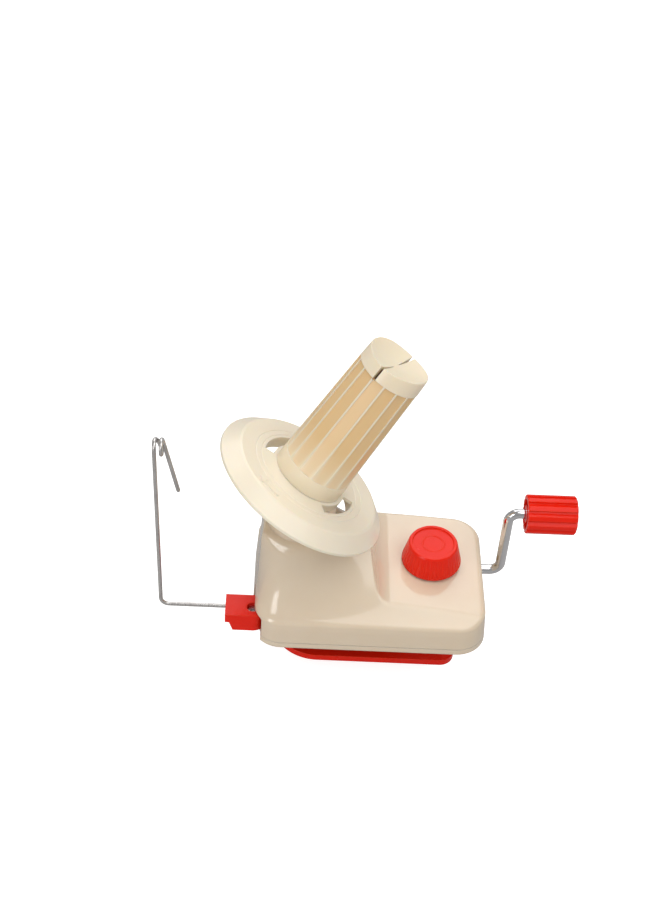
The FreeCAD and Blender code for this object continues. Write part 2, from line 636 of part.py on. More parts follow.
def crank_grip():
    """Ribbed barrel with a hollow inner end."""
    length = GRIP_X1 - GRIP_X0
    barrel = revolve([(0, 0), (GRIP_R - 0.5, 0), (GRIP_R, 0.5), (GRIP_R, length - 0.9),
                      (GRIP_R - 0.9, length), (0, length)])
    root, mouth = GRIP_R - GRIP_GROOVE, GRIP_R + 1.0
    groove = prism([V(root, -0.5, -1), V(mouth, -0.9, -1), V(mouth, 4.6, -1), V(root, 0.5, -1)],
                   V(0, 0, length + 2))
    barrel = barrel.cut(spin_copies(groove, GRIP_GROOVES, start=9.0))
    barrel = barrel.cut([cyl(ROD_R + RUN, -1, length + 1), ring(GRIP_R - 2.9, 5.2, -1, 9.0),
                         cyl(5.6, length - 4.0, length + 1)])
    barrel.rotate(V(0, 0, 0), V(0, 1, 0), 90)
    barrel.translate(V(GRIP_X0, CRANK_Y, CRANK_Z + ARM_LENGTH))
    return barrel


def grip_rivet():
    """Washer riveted on the rod's end, inside the grip's outer end."""
    y, z = CRANK_Y, CRANK_Z + ARM_LENGTH
    washer = rod_x(5.2, GRIP_X1 - 3.7, GRIP_X1 - 2.5, y, z)
    return washer.cut(rod_x(ROD_R, GRIP_X1 - 9, GRIP_X1, y, z))


def crank_bush():
    sleeve = rod_x(4.8, 105.5, BODY_X1 - 0.6, CRANK_Y, CRANK_Z)
    flange = rod_x(6.4, 104.3, 105.7, CRANK_Y, CRANK_Z)
    return sleeve.fuse(flange).cut(rod_x(ROD_R + RUN, 100, 120, CRANK_Y, CRANK_Z)).removeSplitter()


def inner_bush():
    sleeve = rod_x(4.8, 39.6, 46.2, CRANK_Y, CRANK_Z)
    return sleeve.cut(rod_x(ROD_R + RUN, 30, 60, CRANK_Y, CRANK_Z))


def crank_clip():
    washer = rod_x(5.4, 46.5, 47.6, CRANK_Y, CRANK_Z).cut(rod_x(ROD_R, 40, 60, CRANK_Y, CRANK_Z))
    return washer.cut(box(40, 60, CRANK_Y - 1.3, CRANK_Y + 1.3, CRANK_Z, CRANK_Z + 9))


# ---------------------------------------------------------------- table clamp

def clamp_knob():
    """Fluted conical knob with a rimmed, ringed top."""
    height = KNOB_Z1 - KNOB_Z0
    knob = revolve([(0, 0), (KNOB_R0, 0), (KNOB_R0, 1.0), (KNOB_R1 + 0.3, height - 1.0),
                    (KNOB_R1 - 0.5, height), (12.6, height), (12.2, height - 1.0),
                    (7.2, height - 1.0), (6.9, height - 0.75), (6.1, height - 0.75),
                    (5.8, height - 1.0), (0, height - 1.0)])
    groove = Part.makeCone(0.9, 0.75, height, V(0, 0, 0), Z_AXIS)
    lean = math.degrees(math.atan2(KNOB_R0 - KNOB_R1, height))
    groove.rotate(V(0, 0, 0), V(0, 1, 0), -lean)
    groove.translate(V(KNOB_R0 + 0.45, 0, 1.0))
    knob = knob.cut(spin_copies(groove, KNOB_FLUTES))
    knob = knob.cut([cyl(SCREW_R, -1, 2), box(-4.5, 4.5, -4.5, 4.5, 1.2, 9.0)])
    knob.translate(V(CLAMP_X, CLAMP_Y, KNOB_Z0))
    return knob


def clamp_screw():
    """Square-headed clamp screw; its thread is drawn as close rings."""
    profile = [(0, SCREW_END_Z), (SCREW_R - 1.0, SCREW_END_Z), (SCREW_R, SCREW_END_Z + 1.0)]
    z = SCREW_END_Z + 2.0
    while z < -2.0:
        profile += [(SCREW_R, z), (SCREW_R - 0.6, z + 0.35 * THREAD_PITCH),
                    (SCREW_R - 0.6, z + 0.65 * THREAD_PITCH), (SCREW_R, z + THREAD_PITCH)]
        z += THREAD_PITCH
    profile += [(SCREW_R, z + 0.5), (SCREW_R, KNOB_Z0 + 1.4), (0, KNOB_Z0 + 1.4)]
    clean = [p for i, p in enumerate(profile) if i == 0 or p != profile[i - 1]]
    head = box(-4.5, 4.5, -4.5, 4.5, KNOB_Z0 + 1.2, KNOB_Z0 + 9.0)
    screw = revolve(clean).fuse(head).removeSplitter()
    screw.translate(V(CLAMP_X, CLAMP_Y, 0))
    return screw


def clamp_washer():
    return ring(9.0, SCREW_R + 2 * RUN, SEAT_Z, KNOB_Z0 - 0.05, CLAMP_X, CLAMP_Y)


def clamp_clip():
    gap = box(CLAMP_X - 9, CLAMP_X, CLAMP_Y - 1.5, CLAMP_Y + 1.5, 10, 20)
    return ring(6.2, SCREW_R, 13.9, 14.8, CLAMP_X, CLAMP_Y).cut(gap)


def clamp_jaw():
    """Plate under the table, with a nut pocket and a tongue that keeps it straight."""
    z0 = JAW_TOP_Z - JAW_PLATE
    y0, y1 = CLAMP_Y - JAW_HALF_Y, CLAMP_Y + JAW_HALF_Y
    left = rounded_rect(JAW_X0, 70.0, y0, y1, JAW_LEFT_R, z0)
    right = rounded_rect(20.0, JAW_X1, y0, y1, JAW_RIGHT_R, z0)
    plate = Part.Face(left).fuse(Part.Face(right)).removeSplitter().extrude(V(0, 0, JAW_PLATE))
    tongue = box(TONGUE_X0, TONGUE_X1, TONGUE_Y0, TONGUE_Y1, z0 + 1, JAW_TOP_Z + TONGUE_RISE)
    boss = cyl(11.0, z0 - 4.0, z0 + 1, CLAMP_X, CLAMP_Y)
    rib = box(JAW_X0 + 14, CLAMP_X, CLAMP_Y - 2, CLAMP_Y + 2, z0 - 3.0, z0 + 1)
    jaw = plate.fuse([tongue, boss, rib])
    pocket = hex_prism(13.0, z0 - 9, JAW_TOP_Z - 2.5)
    jaw = jaw.cut([pocket, cyl(SCREW_R + 0.3, -60, 0, CLAMP_X, CLAMP_Y),
                   box(2.0, 58.0, CLAMP_Y - 22, CLAMP_Y + 22, JAW_TOP_Z - 0.8, JAW_TOP_Z + 5)])
    return jaw.removeSplitter()


def hex_prism(flats, z0, z1):
    r = flats / math.sqrt(3)
    pts = [V(CLAMP_X + r * math.cos(math.pi * i / 3), CLAMP_Y + r * math.sin(math.pi * i / 3), z0)
           for i in range(6)]
    return prism(pts, V(0, 0, z1 - z0))


def jaw_nut():
    nut = hex_prism(13.0, JAW_TOP_Z - 8.5, JAW_TOP_Z - 2.5)
    return nut.cut(cyl(SCREW_R + RUN, -60, 0, CLAMP_X, CLAMP_Y))


def jaw_pad():
    return box(2.0, 58.0, CLAMP_Y - 22, CLAMP_Y + 22, JAW_TOP_Z - 0.8, JAW_TOP_Z + 0.4)


# ---------------------------------------------------------------- yarn guide

def guide_arm():
    """Moulded arm: round inner end on the pivot, stepped lip at the outer end."""
    y0, y1 = GUIDE_Y - GUIDE_HALF_Y, GUIDE_Y + GUIDE_HALF_Y
    side = [V(ARM_END_X, y0, GUIDE_Z1), V(ARM_END_X, y0, 9.8), V(ARM_END_X + 2.5, y0, 9.6),
            V(ARM_END_X + 4.6, y0, GUIDE_Z0), V(PIVOT.x, y0, GUIDE_Z0), V(PIVOT.x, y0, GUIDE_Z1)]
    block = prism(side, V(0, y1 - y0, 0))
    block = block.fuse(cyl(GUIDE_HALF_Y, GUIDE_Z0, GUIDE_Z1, PIVOT.x, GUIDE_Y)).removeSplitter()
    return block.cut([cyl(2.0 + RUN, 0, 20, PIVOT.x, PIVOT.y),
                      cyl(3.6, 11.0, 20, PIVOT.x, PIVOT.y),
                      rod_x(WIRE_R + 0.04, ARM_END_X - 1, -33.0, WIRE_Y, WIRE_Z)])


def arm_pivot_screw():
    head = cyl(3.3, 11.05, 13.0, PIVOT.x, PIVOT.y)
    socket = cyl(1.5, 12.0, 14, PIVOT.x, PIVOT.y)
    return head.fuse(cyl(2.0, 0.3, 11.5, PIVOT.x, PIVOT.y)).cut(socket)


def wire_run(edges):
    """Round wire swept along one smooth run of centre line."""
    start = edges[0].valueAt(edges[0].FirstParameter)
    heading = edges[0].tangentAt(edges[0].FirstParameter)
    section = Part.Wire(Part.makeCircle(WIRE_R, start, heading))
    return Part.Wire(edges).makePipeShell([section], True, True)


def guide_wire():
    """Leg out of the arm, upright, coil eye and hanging tail."""
    k = WIRE_BEND * (1 - math.sqrt(0.5))
    p0, p1 = V(-33.3, WIRE_Y, WIRE_Z), V(WIRE_X + WIRE_BEND, WIRE_Y, WIRE_Z)
    p2, p3 = V(WIRE_X + k, WIRE_Y, WIRE_Z + k), V(WIRE_X, WIRE_Y, WIRE_Z + WIRE_BEND)
    coil = []
    steps = 48
    for i in range(steps + 1):
        turn = COIL_TURNS * i / steps
        a = 2 * math.pi * turn
        shift = COIL_PITCH * smooth_step((turn - 0.25) / 0.5)
        shift += COIL_LEAN * (max(turn - 1.25, 0.0) / 0.25) ** 2
        coil.append(V(WIRE_X + shift, WIRE_Y + COIL_R * (1 - math.cos(a)),
                      WIRE_TOP_Z - COIL_R + COIL_R * math.sin(a)))
    curve = Part.BSplineCurve()
    curve.interpolate(coil)
    end = coil[-1]
    tail_end = end + V(TAIL_RUN, 0, -TAIL_DROP)
    stem = wire_run([Part.makeLine(p0, p1), Part.Arc(p1, p2, p3).toShape(), Part.makeLine(p3, coil[0])])
    eye = wire_run([curve.toShape()])
    tail = wire_run([Part.makeLine(end, tail_end)])
    return stem.fuse([eye, tail, Part.makeSphere(WIRE_R, tail_end)]).removeSplitter()


# ---------------------------------------------------------------- output

NODES = {
    "top_cover": top_cover, "base_plate": base_plate, "base_pad": base_pad,
    "base_screws": base_screws, "neck_gear": neck_gear, "upper_bush": upper_bush,
    "lower_bush": lower_bush, "crank_bush": crank_bush, "inner_bush": inner_bush,
    "gear_axle": gear_axle, "gear_clip": gear_clip, "arm_pivot_screw": arm_pivot_screw,
    "crank_rod": crank_rod, "crank_pinion": crank_pinion, "crank_clip": crank_clip,
    "grip_rivet": grip_rivet, "crank_grip": crank_grip, "compound_gear": compound_gear,
    "main_shaft": main_shaft, "main_pinion": main_pinion, "shaft_clip": shaft_clip,
    "tilt_carrier": tilt_carrier, "holder_washer": holder_washer, "holder_screw": holder_screw,
    "geared_holder": geared_holder, "spindle": spindle, "clamp_knob": clamp_knob,
    "clamp_screw": clamp_screw, "clamp_washer": clamp_washer, "clamp_clip": clamp_clip,
    "clamp_jaw": clamp_jaw, "jaw_nut": jaw_nut, "jaw_pad": jaw_pad, "guide_arm": guide_arm,
    "guide_wire": guide_wire,
}

for name, make in NODES.items():
    make().exportStep("parts/" + name + ".step")
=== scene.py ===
import json
import math

import bmesh
import bpy
import numpy as np
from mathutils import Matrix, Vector


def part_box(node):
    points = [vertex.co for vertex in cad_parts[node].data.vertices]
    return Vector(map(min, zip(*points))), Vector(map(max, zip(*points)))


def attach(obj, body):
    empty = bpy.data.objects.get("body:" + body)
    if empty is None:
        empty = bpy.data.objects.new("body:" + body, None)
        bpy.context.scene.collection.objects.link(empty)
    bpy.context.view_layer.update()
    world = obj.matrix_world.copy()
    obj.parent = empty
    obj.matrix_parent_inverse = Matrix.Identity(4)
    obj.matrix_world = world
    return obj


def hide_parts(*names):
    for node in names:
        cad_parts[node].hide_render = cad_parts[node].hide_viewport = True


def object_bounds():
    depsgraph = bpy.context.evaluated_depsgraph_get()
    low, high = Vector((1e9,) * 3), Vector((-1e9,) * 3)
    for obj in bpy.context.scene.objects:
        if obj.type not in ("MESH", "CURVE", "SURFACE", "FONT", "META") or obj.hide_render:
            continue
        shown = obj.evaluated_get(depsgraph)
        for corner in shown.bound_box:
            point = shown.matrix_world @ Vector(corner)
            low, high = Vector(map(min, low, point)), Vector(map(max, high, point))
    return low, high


# Looks of a hand-cranked yarn ball winder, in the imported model's own frame: +Z up, +X to the crank,
# origin where the main shaft's axis meets the plane of the base rim.
# The frame's own lengths, the materials, the stage, the lights and the camera are in metres. The
# cover's driving sizes are in millimetres, and MM turns them into metres when a mesh is made.

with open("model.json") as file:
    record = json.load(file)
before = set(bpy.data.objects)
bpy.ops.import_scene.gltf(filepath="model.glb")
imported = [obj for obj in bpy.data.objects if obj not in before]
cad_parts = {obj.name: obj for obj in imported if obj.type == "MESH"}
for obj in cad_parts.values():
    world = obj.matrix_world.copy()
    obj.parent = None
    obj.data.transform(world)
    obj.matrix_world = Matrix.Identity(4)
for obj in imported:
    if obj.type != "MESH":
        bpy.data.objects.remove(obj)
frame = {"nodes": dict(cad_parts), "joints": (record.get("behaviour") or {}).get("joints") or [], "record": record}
nodes = frame["nodes"]
cad_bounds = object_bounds()
MM = 0.001


# ------------------------------------------------------------------ material helpers

BEVEL_SAMPLES = 4                       # rays that soft_edges spends on each shaded point
EDGE_FACING, EDGE_TURNED = 0.99, 0.80   # dot products where a worn edge starts and is full


class Graph:
    """A new material and the few calls that this script needs to build its node tree."""

    def __init__(self, name):
        self.material = bpy.data.materials.new(name)
        self.material.use_nodes = True
        self.tree = self.material.node_tree
        self.bsdf = self.tree.nodes["Principled BSDF"]
        self.position = self.add("ShaderNodeTexCoord").outputs["Object"]

    def add(self, kind, **settings):
        node = self.tree.nodes.new(kind)
        for key, value in settings.items():
            setattr(node, key, value)
        return node

    def link(self, output, socket):
        self.tree.links.new(output, socket)

    def feed(self, socket, value):
        """Links a socket to another node's output, or gives it a plain value."""
        if isinstance(value, bpy.types.NodeSocket):
            self.link(value, socket)
        else:
            socket.default_value = value

    def noise(self, scale, detail=3.0, roughness=0.5, stretch=None):
        source = self.position
        if stretch is not None:
            mapping = self.add("ShaderNodeMapping")
            mapping.inputs["Scale"].default_value = stretch
            self.link(source, mapping.inputs["Vector"])
            source = mapping.outputs["Vector"]
        node = self.add("ShaderNodeTexNoise")
        self.link(source, node.inputs["Vector"])
        node.inputs["Scale"].default_value = scale
        node.inputs["Detail"].default_value = detail
        node.inputs["Roughness"].default_value = roughness
        return node.outputs["Fac"]

    def remap(self, value, low, high, out_low, out_high):
        """Straight-line map of low..high to out_low..out_high, held at both ends."""
        node = self.add("ShaderNodeMapRange")
        self.link(value, node.inputs["Value"])
        node.inputs["From Min"].default_value = low
        node.inputs["From Max"].default_value = high
        node.inputs["To Min"].default_value = out_low
        node.inputs["To Max"].default_value = out_high
        return node.outputs["Result"]

    def mix(self, factor, a, b):
        node = self.add("ShaderNodeMix", data_type="RGBA")
        self.feed(node.inputs["Factor"], factor)
        self.feed(node.inputs["A"], a)
        self.feed(node.inputs["B"], b)
        return node.outputs["Result"]

    def math(self, operation, a, b):
        node = self.add("ShaderNodeMath", operation=operation)
        self.feed(node.inputs[0], a)
        self.feed(node.inputs[1], b)
        return node.outputs["Value"]

    def vector(self, operation, a, b=None):
        """A vector node, whose result is read from its outputs: Vector or Value."""
        node = self.add("ShaderNodeVectorMath", operation=operation)
        self.link(a, node.inputs[0])
        if b is not None:
            self.feed(node.inputs[1], b)
        return node.outputs

    def bump(self, height, strength, distance, normal):
        node = self.add("ShaderNodeBump")
        self.link(height, node.inputs["Height"])
        node.inputs["Strength"].default_value = strength
        node.inputs["Distance"].default_value = distance
        self.link(normal, node.inputs["Normal"])
        return node.outputs["Normal"]

    def soft_edges(self, radius):
        """The normal that a rounding of this radius would give."""
        node = self.add("ShaderNodeBevel", samples=BEVEL_SAMPLES)
        node.inputs["Radius"].default_value = radius
        return node.outputs["Normal"]

    def edge_mask(self, radius):
        """1 along edges, 0 on faces: how far the rounded normal leans from the true one."""
        true = self.add("ShaderNodeNewGeometry").outputs["Normal"]
        facing = self.vector("DOT_PRODUCT", self.soft_edges(radius), true)["Value"]
        return self.remap(facing, EDGE_FACING, EDGE_TURNED, 0.0, 1.0)


PLASTIC_IOR = 1.49
GLOW_DEPTH = 0.004                      # how far light travels inside the plastic
WORN_RADIUS = 0.0007                    # width of the paler worn edge


def plastic(name, color, shade, rim, roughness, grain, glow, glow_tint,
            coat=0.15, coat_roughness=0.12, shine=0.5, edge_radius=0.0005, tint=None):
    """Moulded plastic: faint flow clouding, satin grain, polished and slightly paler worn edges.

    The colour clouds over towards shade and wears to rim along edges. A tint is a function of the
    graph that gives a mask and the colour painted there; the spindle's tint is painted shade.
    """
    g = Graph(name)
    cloud = g.remap(g.noise(28.0, 4.0, 0.6), 0.35, 0.7, 0.0, 1.0)
    speck = g.remap(g.noise(900.0, 2.0), 0.4, 0.75, 0.0, 1.0)
    base = g.mix(g.math("MULTIPLY", cloud, 0.55), (*color, 1), (*shade, 1))
    base = g.mix(g.math("MULTIPLY", speck, 0.10), base, (*shade, 1))
    # a tint paints its colour over its mask: on the spindle, painted shade in the sunk flats
    if tint:
        mask, deep = tint(g)
        base = g.mix(mask, base, (*deep, 1))
    edge = g.edge_mask(WORN_RADIUS)
    base = g.mix(g.math("MULTIPLY", edge, 0.45), base, (*rim, 1))
    g.feed(g.bsdf.inputs["Base Color"], base)

    scuff = g.remap(g.noise(140.0, 6.0, 0.7), 0.45, 0.75, 0.0, 0.10)
    g.feed(g.bsdf.inputs["Roughness"], g.math("ADD", scuff, roughness))
    g.bsdf.inputs["IOR"].default_value = PLASTIC_IOR
    g.bsdf.inputs["Specular IOR Level"].default_value = shine
    g.bsdf.inputs["Coat Weight"].default_value = coat
    g.bsdf.inputs["Coat Roughness"].default_value = coat_roughness
    g.bsdf.inputs["Subsurface Weight"].default_value = glow
    g.bsdf.inputs["Subsurface Radius"].default_value = glow_tint
    g.bsdf.inputs["Subsurface Scale"].default_value = GLOW_DEPTH

    fine = g.bump(g.noise(2600.0, 2.0), grain, 0.0002, g.soft_edges(edge_radius))
    wavy = g.bump(g.noise(45.0, 2.0), 0.12, 0.0004, fine)
    g.link(wavy, g.bsdf.inputs["Normal"])
    return g.material


def metal(name, color, dark, roughness, streak=(1, 1, 1), spots=0.3, depth=0.15):
    """Metal with dull spots, dark tarnish, and fine scratches along the axis that streak shrinks."""
    g = Graph(name)
    lines = g.noise(600.0, 4.0, 0.6, streak)
    tarnish = g.remap(g.noise(70.0, 5.0, 0.6), 0.45, 0.75, 0.0, spots)
    g.feed(g.bsdf.inputs["Base Color"], g.mix(tarnish, (*color, 1), (*dark, 1)))
    g.bsdf.inputs["Metallic"].default_value = 1.0
    rough = g.remap(lines, 0.3, 0.7, roughness * 0.7, roughness * 1.5)
    g.feed(g.bsdf.inputs["Roughness"], g.math("ADD", rough, g.math("MULTIPLY", tarnish, 0.15)))
    g.link(g.bump(lines, depth, 0.00005, g.soft_edges(0.0003)), g.bsdf.inputs["Normal"])
    return g.material


def rubber(name, color, pale):
    """Matt rubber with pale dust in patches and a pebbled skin."""
    g = Graph(name)
    dust = g.remap(g.noise(60.0, 6.0, 0.7), 0.45, 0.8, 0.0, 0.5)
    g.feed(g.bsdf.inputs["Base Color"], g.mix(dust, (*color, 1), (*pale, 1)))
    g.feed(g.bsdf.inputs["Roughness"], g.remap(dust, 0.0, 0.5, 0.65, 0.9))
    pebble = g.add("ShaderNodeTexVoronoi")
    g.link(g.position, pebble.inputs["Vector"])
    pebble.inputs["Scale"].default_value = 1400.0
    skin = g.bump(pebble.outputs["Distance"], 0.5, 0.0002, g.soft_edges(0.0004))
    g.link(skin, g.bsdf.inputs["Normal"])
    return g.material


# The spindle in metres: along its axis from the holder's centre, and out from its axis.
SPINDLE_FOOT, SPINDLE_HEAD = 0.016, 0.088           # the ribbed length
SPINDLE_FOOT_R, SPINDLE_HEAD_R = 0.0216, 0.0193     # radius of its skin at those two ends
SUNK_STARTS, SUNK_FULL = 0.00012, 0.00045           # depth under the skin where the painted shade starts and is full
LIP_STARTS, LIP_FULL = 0.0868, 0.0876               # the painted shade stops at the top lip
RUN_OUT_END = 0.040                                 # the flats reach their depth here, and the painted shade its full share
# share of painted shade at the foot of the flats, and its most in the flats
FOOT_SHADE_SHARE, PANEL_SHADE_SHARE = 0.45, 0.9
# the golden colour of the painted shade in the spindle's flats
PAINTED_SHADE_GOLD = (0.78, 0.52, 0.24)


def painted_panel_shade(g):
    """Painted shade for the spindle: a golden colour in its sunk flats, below the top lip and fainter towards the
    foot.
    """
    spin = next(joint for joint in frame["joints"] if joint["name"] == "holder_spin")
    offset = g.vector("SUBTRACT", g.position, spin["pos_m"])["Vector"]
    along = g.vector("DOT_PRODUCT", offset, spin["axis"])["Value"]
    across = g.vector("CROSS_PRODUCT", offset, spin["axis"])["Vector"]
    radius = g.vector("LENGTH", across)["Value"]
    skin = g.remap(along, SPINDLE_FOOT, SPINDLE_HEAD, SPINDLE_FOOT_R, SPINDLE_HEAD_R)
    depth = g.math("SUBTRACT", skin, radius)
    # painted shade: golden where the surface lies sunk under the skin, less at the foot, none above the lip
    sunk = g.remap(depth, SUNK_STARTS, SUNK_FULL, 0.0, PANEL_SHADE_SHARE)
    below_lip = g.remap(along, LIP_STARTS, LIP_FULL, 1.0, 0.0)
    run_out = g.remap(along, SPINDLE_FOOT, RUN_OUT_END, FOOT_SHADE_SHARE, 1.0)
    return g.math("MULTIPLY", g.math("MULTIPLY", sunk, below_lip), run_out), PAINTED_SHADE_GOLD


# ------------------------------------------------------------------ materials

IVORY = plastic("ivory_gloss",
                color=(0.765, 0.64, 0.49), shade=(0.735, 0.595, 0.435), rim=(0.92, 0.85, 0.73),
                roughness=0.13, grain=0.01, glow=0.10, glow_tint=(1.0, 0.65, 0.35),
                coat=0.6, coat_roughness=0.05, edge_radius=0.0011)
PALE = plastic("pale_ivory",
               color=(0.87, 0.79, 0.645), shade=(0.84, 0.745, 0.59), rim=(0.96, 0.92, 0.82),
               roughness=0.28, grain=0.04, glow=0.22, glow_tint=(1.0, 0.6, 0.28))
RED = plastic("signal_red",
              color=(0.84, 0.016, 0.003), shade=(0.72, 0.008, 0.002), rim=(0.98, 0.12, 0.04),
              roughness=0.20, grain=0.02, glow=0.08, glow_tint=(1.0, 0.1, 0.05),
              coat=0.0, shine=0.25)
# the spindle's plastic, with painted shade in its sunk flats
SPINDLE = plastic("spindle_ivory",
                  color=(0.885, 0.77, 0.585), shade=(0.86, 0.72, 0.52), rim=(1.0, 0.97, 0.89),
                  roughness=0.30, grain=0.04, glow=0.22, glow_tint=(1.0, 0.6, 0.28),
                  tint=painted_panel_shade)
NYLON = plastic("gear_nylon",
                color=(0.70, 0.55, 0.33), shade=(0.60, 0.45, 0.25), rim=(0.82, 0.70, 0.48),
                roughness=0.38, grain=0.06, glow=0.15, glow_tint=(1.0, 0.6, 0.3))
CHROME = metal("chrome", (0.80, 0.80, 0.82), (0.60, 0.60, 0.62), 0.07, streak=(0.15, 1, 1))
WIRE = metal("drawn_wire", (0.74, 0.72, 0.71), (0.30, 0.26, 0.25), 0.26, streak=(1, 1, 0.05),
             spots=0.6)
ZINC = metal("zinc_plate", (0.60, 0.61, 0.64), (0.42, 0.42, 0.44), 0.28, spots=0.6)
BRONZE = metal("sintered_bronze", (0.60, 0.40, 0.20), (0.38, 0.24, 0.12), 0.35, spots=0.8,
               depth=0.3)
RUBBER = rubber("black_rubber", (0.025, 0.025, 0.026), (0.10, 0.095, 0.09))

SLOT_LOOKS = {"ivory_plastic": IVORY, "light_ivory_plastic": PALE, "red_plastic": RED,
              "gear_plastic": NYLON, "chromed_steel": CHROME, "wire_steel": WIRE,
              "zinc_steel": ZINC, "bronze": BRONZE, "black_rubber": RUBBER}


def dress_cad_nodes():
    """Gives every CAD node the material of its slot in the record, and the spindle its own."""
    for part in frame["record"]["subparts"]:
        mesh = nodes[part["node"]].data
        mesh.materials.clear()
        look = SPINDLE if part["node"] == "spindle" else SLOT_LOOKS[part["material_slot"]]
        mesh.materials.append(look)


# ------------------------------------------------------------------ the moulded cover's sizes, MM

# Shell and outline. The outline is a rounded rectangle that leans inward by DRAFT up to BAND_Z.
BAND_Z = 20.0
DRAFT = 1.5
CORNER_R = 18.0
BODY_LENGTH = 140.4
WALL = 2.4
RIM_Z = 3.7
EDGE_R = 2.6
SMOOTH_ANGLE = 35.0                     # degrees: sharper edges stay sharp

# The hump: a concave flank from the outline up to the neck, with its foot higher at the back.
HUMP_REACH_X, HUMP_POWER, HUMP_R, FLANK_RUN = 190.0, 1.7, 27.5, 3.0
BACK_BAND_Z, DECK_RISE_BACK = 23.0, 4.0
BACK_START_Y, BACK_RUN, RIGHT_RUN = 20.0, 50.0, 40.0
SHOULDER_Z, SHOULDER_RISE = 54.0, 8.0

# The neck, with the seat and hole of the main shaft's bearing inside.
NECK_R, NECK_TOP_Z, NECK_BORE_R = 20.5, 70.0, 16.0
NECK_ROUND, NECK_ROUND_GAP = 1.5, 1.6
BEARING_R, SHAFT_HOLE_R = 9.0, 6.02
BEARING_TALL, NECK_ROOF = 7.0, 4.0

# The deck: a plane that falls to the crank end, with a steep wall rounded into it.
DECK_Z, DECK_X = 25.0, 80.0
DECK_TILT = math.tan(math.radians(4.5))
DECK_WALL_X, DECK_WALL_R, DECK_WALL_SLOPE = 55.0, 10.0, 4.0
RIDGE_SOFT = 1.6                        # rounding where hump and deck meet

# The notch for the guide arm, and the round holes.
NOTCH_X1, NOTCH_Y1, NOTCH_TOP_Z = -21.5, -12.0, 17.4
NOTCH_PAST = Vector((12.0, 6.0, 4.0))   # how far the cutter goes beyond the cover's low corner
NOTCH_ROUND = 1.0
SCREW_HOLE_R, SCREW_HOLE_Z0, SCREW_HOLE_Z1 = 4.15, 10.0, 40.0
BUSH_HOLE_R, BUSH_HOLE_PAST = 4.85, 8.0

# How finely the surface is drawn.
AROUND = 640                            # points round the outline
SIDE_STEPS = (0.0, 0.02, 0.15, 0.4, 0.7, 0.9)
EDGE_STEPS = 8
TOP_STEPS = 110
NECK_STEPS = (0.08, 0.3, 0.65, 1.0)
NECK_ROUND_STEPS = 5
INSIDE_STEPS = 36
INSIDE_WALL_STEPS = (0.5, 1.0)
SLOPE_PROBE = 0.5                       # half step for measuring the top's slope
STEEPEST = 2.2                          # cap on how much steep walls thicken downwards

cover_low, cover_high = (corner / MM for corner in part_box("base_plate"))
X0, X1 = cover_high.x - BODY_LENGTH, cover_high.x
Y0, Y1 = cover_low.y, cover_high.y


# ------------------------------------------------------------------ the cover's surface

def outline_runs(lean):
    """The outline's straight and round runs at an inward lean, and its corner radius.

    A line is (kind, start x, start y, direction x, direction y, length), and an arc is
    (kind, centre x, centre y, start angle, unused, length).
    """
    x0, x1, y0, y1 = X0 + lean, X1 - lean, Y0 + lean, Y1 - lean
    r = CORNER_R - lean
    arc = math.pi * r / 2
    long_side, short_side = (x1 - x0) - 2 * r, (y1 - y0) - 2 * r
    runs = [("line", x0 + r, y0, 1, 0, long_side), ("arc", x1 - r, y0 + r, -90, 0, arc),
            ("line", x1, y0 + r, 0, 1, short_side), ("arc", x1 - r, y1 - r, 0, 0, arc),
            ("line", x1 - r, y1, -1, 0, long_side), ("arc", x0 + r, y1 - r, 90, 0, arc),
            ("line", x0, y1 - r, 0, -1, short_side), ("arc", x0 + r, y0 + r, 180, 0, arc)]
    return runs, r


def outline(lean):
    """Points along the outline, with the same number on each run at every lean."""
    runs, r = outline_runs(lean)
    base_runs, _ = outline_runs(0.0)
    total = sum(length for *_, length in base_runs)
    points = []
    for (kind, x, y, a, b, length), base in zip(runs, base_runs):
        count = max(int(round(AROUND * base[-1] / total)), 4)
        for i in range(count):
            t = i / count
            if kind == "line":
                points.append((x + a * length * t, y + b * length * t))
            else:
                angle = math.radians(a + 90 * t)
                points.append((x + r * math.cos(angle), y + r * math.sin(angle)))
    return np.array(points)


def smooth_step(t):
    t = np.clip(t, 0.0, 1.0)
    return t * t * (3 - 2 * t)


def foot_distance(ux, uy):
    """Plan distance from the main axis to the hump's foot, in the unit direction (ux, uy)."""
    x0, y0, y1, r = X0 + DRAFT, Y0 + DRAFT, Y1 - DRAFT, CORNER_R - DRAFT
    tiny = 1e-9
    d = np.where(ux > tiny, HUMP_REACH_X / np.maximum(ux, tiny), np.inf)
    d = np.minimum(d, np.where(ux < -tiny, x0 / np.minimum(ux, -tiny), np.inf))
    d = np.minimum(d, np.where(uy > tiny, y1 / np.maximum(uy, tiny), np.inf))
    d = np.minimum(d, np.where(uy < -tiny, y0 / np.minimum(uy, -tiny), np.inf))
    px, py = ux * d, uy * d
    cx = x0 + r
    for cy, inside in ((y0 + r, py < y0 + r), (y1 - r, py > y1 - r)):
        along = ux * cx + uy * cy
        bent = along + np.sqrt(np.maximum(along ** 2 - (cx * cx + cy * cy) + r * r, 0.0))
        d = np.where((px < cx) & inside, bent, d)
    return d


def hump_height(x, y):
    r = np.maximum(np.hypot(x, y), 1e-6)
    ux, uy = x / r, y / r
    far = foot_distance(ux, uy)
    t = np.maximum((far - r) / (far - np.minimum(HUMP_R, far - FLANK_RUN)), 0.0)
    back = smooth_step((uy * far + BACK_START_Y) / BACK_RUN)
    right = smooth_step(ux * far / RIGHT_RUN)
    low = BAND_Z + back * (BACK_BAND_Z - BAND_Z + DECK_RISE_BACK * right)
    z = low + (SHOULDER_Z - low) * t ** HUMP_POWER
    over = np.maximum(z - SHOULDER_Z, 0.0)
    return np.minimum(z, SHOULDER_Z) + SHOULDER_RISE * (1 - np.exp(-over / SHOULDER_RISE))


